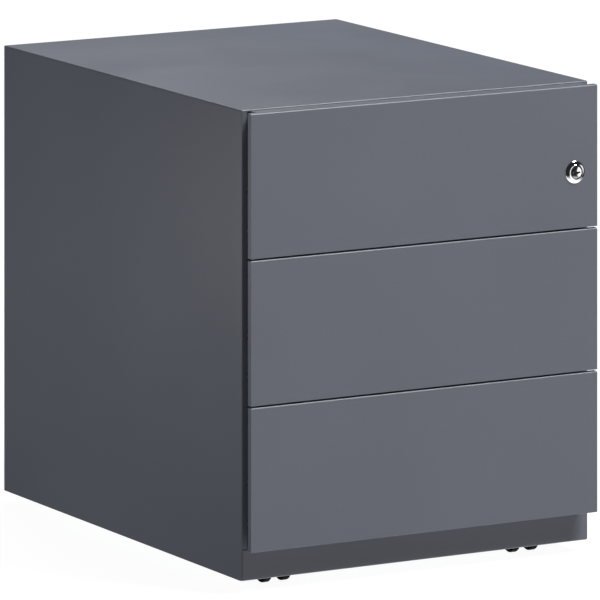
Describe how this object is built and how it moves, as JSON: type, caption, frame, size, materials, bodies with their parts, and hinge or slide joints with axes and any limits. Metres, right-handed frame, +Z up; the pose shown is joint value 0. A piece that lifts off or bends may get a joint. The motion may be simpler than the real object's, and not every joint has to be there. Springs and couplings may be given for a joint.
{
  "type": "mobile drawer pedestal",
  "caption": "Low steel office pedestal with full-width drawer fronts gripped at their side edges, a cam lock that bars the drawers, and concealed twin-wheel castors.",
  "frame": {"origin": "on the floor under the middle of the whole object's box, lock included", "axes": "+Z up, -Y towards the front (drawers open along -Y), +X to the right as seen from the front"},
  "size_m": [0.42, 0.5684, 0.502],
  "materials": {
    "case_paint": "anthracite powder coat, fine texture, satin",
    "front_paint": "anthracite powder coat, fine texture, satin",
    "tray_paint": "anthracite powder coat, fine texture, satin",
    "runner_steel": "bright zinc plate on cold rolled steel",
    "ball_cage_steel": "zinc plated strip with steel balls",
    "lock_chrome": "polished chrome plate",
    "black_plastic": "moulded black nylon, fine grain",
    "wheel_tread": "moulded black nylon, matte tread"
  },
  "bodies": {
    "case": {"case_wrap": "case_paint", "back_panel": "case_paint", "base_pan": "case_paint", "top_front_rail": "case_paint", "upright_front_left": "case_paint", "upright_front_right": "case_paint", "upright_rear_left": "case_paint", "upright_rear_right": "case_paint", "runner_bottom_left_outer": "runner_steel", "runner_bottom_right_outer": "runner_steel", "runner_middle_left_outer": "runner_steel", "runner_middle_right_outer": "runner_steel", "runner_top_left_outer": "runner_steel", "runner_top_right_outer": "runner_steel", "lock_bar_guide_lower": "black_plastic", "lock_bar_guide_upper": "black_plastic", "castor_front_left_mount": "runner_steel", "castor_front_right_mount": "runner_steel", "castor_rear_left_mount": "runner_steel", "castor_rear_right_mount": "runner_steel"},
    "drawer_bottom": {"drawer_bottom_front": "front_paint", "drawer_bottom_tray": "tray_paint", "drawer_bottom_catch": "runner_steel", "runner_bottom_left_inner": "runner_steel", "runner_bottom_right_inner": "runner_steel"},
    "ball_cages_bottom": {"runner_bottom_left_ball_cage": "ball_cage_steel", "runner_bottom_right_ball_cage": "ball_cage_steel"},
    "drawer_middle": {"drawer_middle_front": "front_paint", "drawer_middle_tray": "tray_paint", "drawer_middle_catch": "runner_steel", "runner_middle_left_inner": "runner_steel", "runner_middle_right_inner": "runner_steel"},
    "ball_cages_middle": {"runner_middle_left_ball_cage": "ball_cage_steel", "runner_middle_right_ball_cage": "ball_cage_steel"},
    "drawer_top": {"drawer_top_front": "front_paint", "drawer_top_tray": "tray_paint", "drawer_top_catch": "runner_steel", "runner_top_left_inner": "runner_steel", "runner_top_right_inner": "runner_steel", "lock_barrel": "lock_chrome", "lock_nut": "runner_steel"},
    "ball_cages_top": {"runner_top_left_ball_cage": "ball_cage_steel", "runner_top_right_ball_cage": "ball_cage_steel"},
    "lock_core": {"lock_plug": "lock_chrome", "lock_cam": "runner_steel", "lock_cam_screw": "runner_steel"},
    "lock_bar": {"lock_bar": "runner_steel"},
    "castor_front_left_swivel": {"castor_front_left_hood": "black_plastic"},
    "castor_front_left_wheel_left": {"castor_front_left_wheel_left": "wheel_tread"},
    "castor_front_left_wheel_right": {"castor_front_left_wheel_right": "wheel_tread"},
    "castor_front_right_swivel": {"castor_front_right_hood": "black_plastic"},
    "castor_front_right_wheel_left": {"castor_front_right_wheel_left": "wheel_tread"},
    "castor_front_right_wheel_right": {"castor_front_right_wheel_right": "wheel_tread"},
    "castor_rear_left_swivel": {"castor_rear_left_hood": "black_plastic"},
    "castor_rear_left_wheel_left": {"castor_rear_left_wheel_left": "wheel_tread"},
    "castor_rear_left_wheel_right": {"castor_rear_left_wheel_right": "wheel_tread"},
    "castor_rear_right_swivel": {"castor_rear_right_hood": "black_plastic"},
    "castor_rear_right_wheel_left": {"castor_rear_right_wheel_left": "wheel_tread"},
    "castor_rear_right_wheel_right": {"castor_rear_right_wheel_right": "wheel_tread"}
  },
  "joints": [
    {"name": "drawer_bottom_slide", "type": "slide", "parent": "case", "child": "drawer_bottom", "axis": [0, -1, 0], "range_m": [0, 0.4]},
    {"name": "runner_cages_bottom_slide", "type": "slide", "parent": "case", "child": "ball_cages_bottom", "axis": [0, -1, 0], "range_m": [0, 0.2]},
    {"name": "drawer_middle_slide", "type": "slide", "parent": "case", "child": "drawer_middle", "axis": [0, -1, 0], "range_m": [0, 0.4]},
    {"name": "runner_cages_middle_slide", "type": "slide", "parent": "case", "child": "ball_cages_middle", "axis": [0, -1, 0], "range_m": [0, 0.2]},
    {"name": "drawer_top_slide", "type": "slide", "parent": "case", "child": "drawer_top", "axis": [0, -1, 0], "range_m": [0, 0.4]},
    {"name": "runner_cages_top_slide", "type": "slide", "parent": "case", "child": "ball_cages_top", "axis": [0, -1, 0], "range_m": [0, 0.2]},
    {"name": "cam_lock_turn", "type": "hinge", "parent": "drawer_top", "child": "lock_core", "pos_m": [0.1822, -0.28075, 0.4093], "axis": [0, -1, 0], "range_deg": [0, 90]},
    {"name": "lock_bar_lift", "type": "slide", "parent": "case", "child": "lock_bar", "axis": [0, 0, 1], "range_m": [0, 0.01]},
    {"name": "swivel_front_left", "type": "hinge", "parent": "case", "child": "castor_front_left_swivel", "pos_m": [-0.1507, -0.20825, 0], "axis": [0, 0, 1], "continuous": true},
    {"name": "wheel_front_left_left", "type": "hinge", "parent": "castor_front_left_swivel", "child": "castor_front_left_wheel_left", "pos_m": [-0.1507, -0.22025, 0.01388], "axis": [1, 0, 0], "continuous": true},
    {"name": "wheel_front_left_right", "type": "hinge", "parent": "castor_front_left_swivel", "child": "castor_front_left_wheel_right", "pos_m": [-0.1507, -0.22025, 0.01388], "axis": [1, 0, 0], "continuous": true},
    {"name": "swivel_front_right", "type": "hinge", "parent": "case", "child": "castor_front_right_swivel", "pos_m": [0.1507, -0.20825, 0], "axis": [0, 0, 1], "continuous": true},
    {"name": "wheel_front_right_left", "type": "hinge", "parent": "castor_front_right_swivel", "child": "castor_front_right_wheel_left", "pos_m": [0.1507, -0.22025, 0.01388], "axis": [1, 0, 0], "continuous": true},
    {"name": "wheel_front_right_right", "type": "hinge", "parent": "castor_front_right_swivel", "child": "castor_front_right_wheel_right", "pos_m": [0.1507, -0.22025, 0.01388], "axis": [1, 0, 0], "continuous": true},
    {"name": "swivel_rear_left", "type": "hinge", "parent": "case", "child": "castor_rear_left_swivel", "pos_m": [-0.1507, 0.23175, 0], "axis": [0, 0, 1], "continuous": true},
    {"name": "wheel_rear_left_left", "type": "hinge", "parent": "castor_rear_left_swivel", "child": "castor_rear_left_wheel_left", "pos_m": [-0.1507, 0.21975, 0.01388], "axis": [1, 0, 0], "continuous": true},
    {"name": "wheel_rear_left_right", "type": "hinge", "parent": "castor_rear_left_swivel", "child": "castor_rear_left_wheel_right", "pos_m": [-0.1507, 0.21975, 0.01388], "axis": [1, 0, 0], "continuous": true},
    {"name": "swivel_rear_right", "type": "hinge", "parent": "case", "child": "castor_rear_right_swivel", "pos_m": [0.1507, 0.23175, 0], "axis": [0, 0, 1], "continuous": true},
    {"name": "wheel_rear_right_left", "type": "hinge", "parent": "castor_rear_right_swivel", "child": "castor_rear_right_wheel_left", "pos_m": [0.1507, 0.21975, 0.01388], "axis": [1, 0, 0], "continuous": true},
    {"name": "wheel_rear_right_right", "type": "hinge", "parent": "castor_rear_right_swivel", "child": "castor_rear_right_wheel_right", "pos_m": [0.1507, 0.21975, 0.01388], "axis": [1, 0, 0], "continuous": true}
  ],
  "couplings": [
    {"joint": "runner_cages_bottom_slide", "follows": "drawer_bottom_slide", "ratio": 0.5},
    {"joint": "runner_cages_middle_slide", "follows": "drawer_middle_slide", "ratio": 0.5},
    {"joint": "runner_cages_top_slide", "follows": "drawer_top_slide", "ratio": 0.5},
    {"joint": "cam_lock_turn", "follows": "lock_bar_lift", "rad_per_m": 157.08}
  ]
}
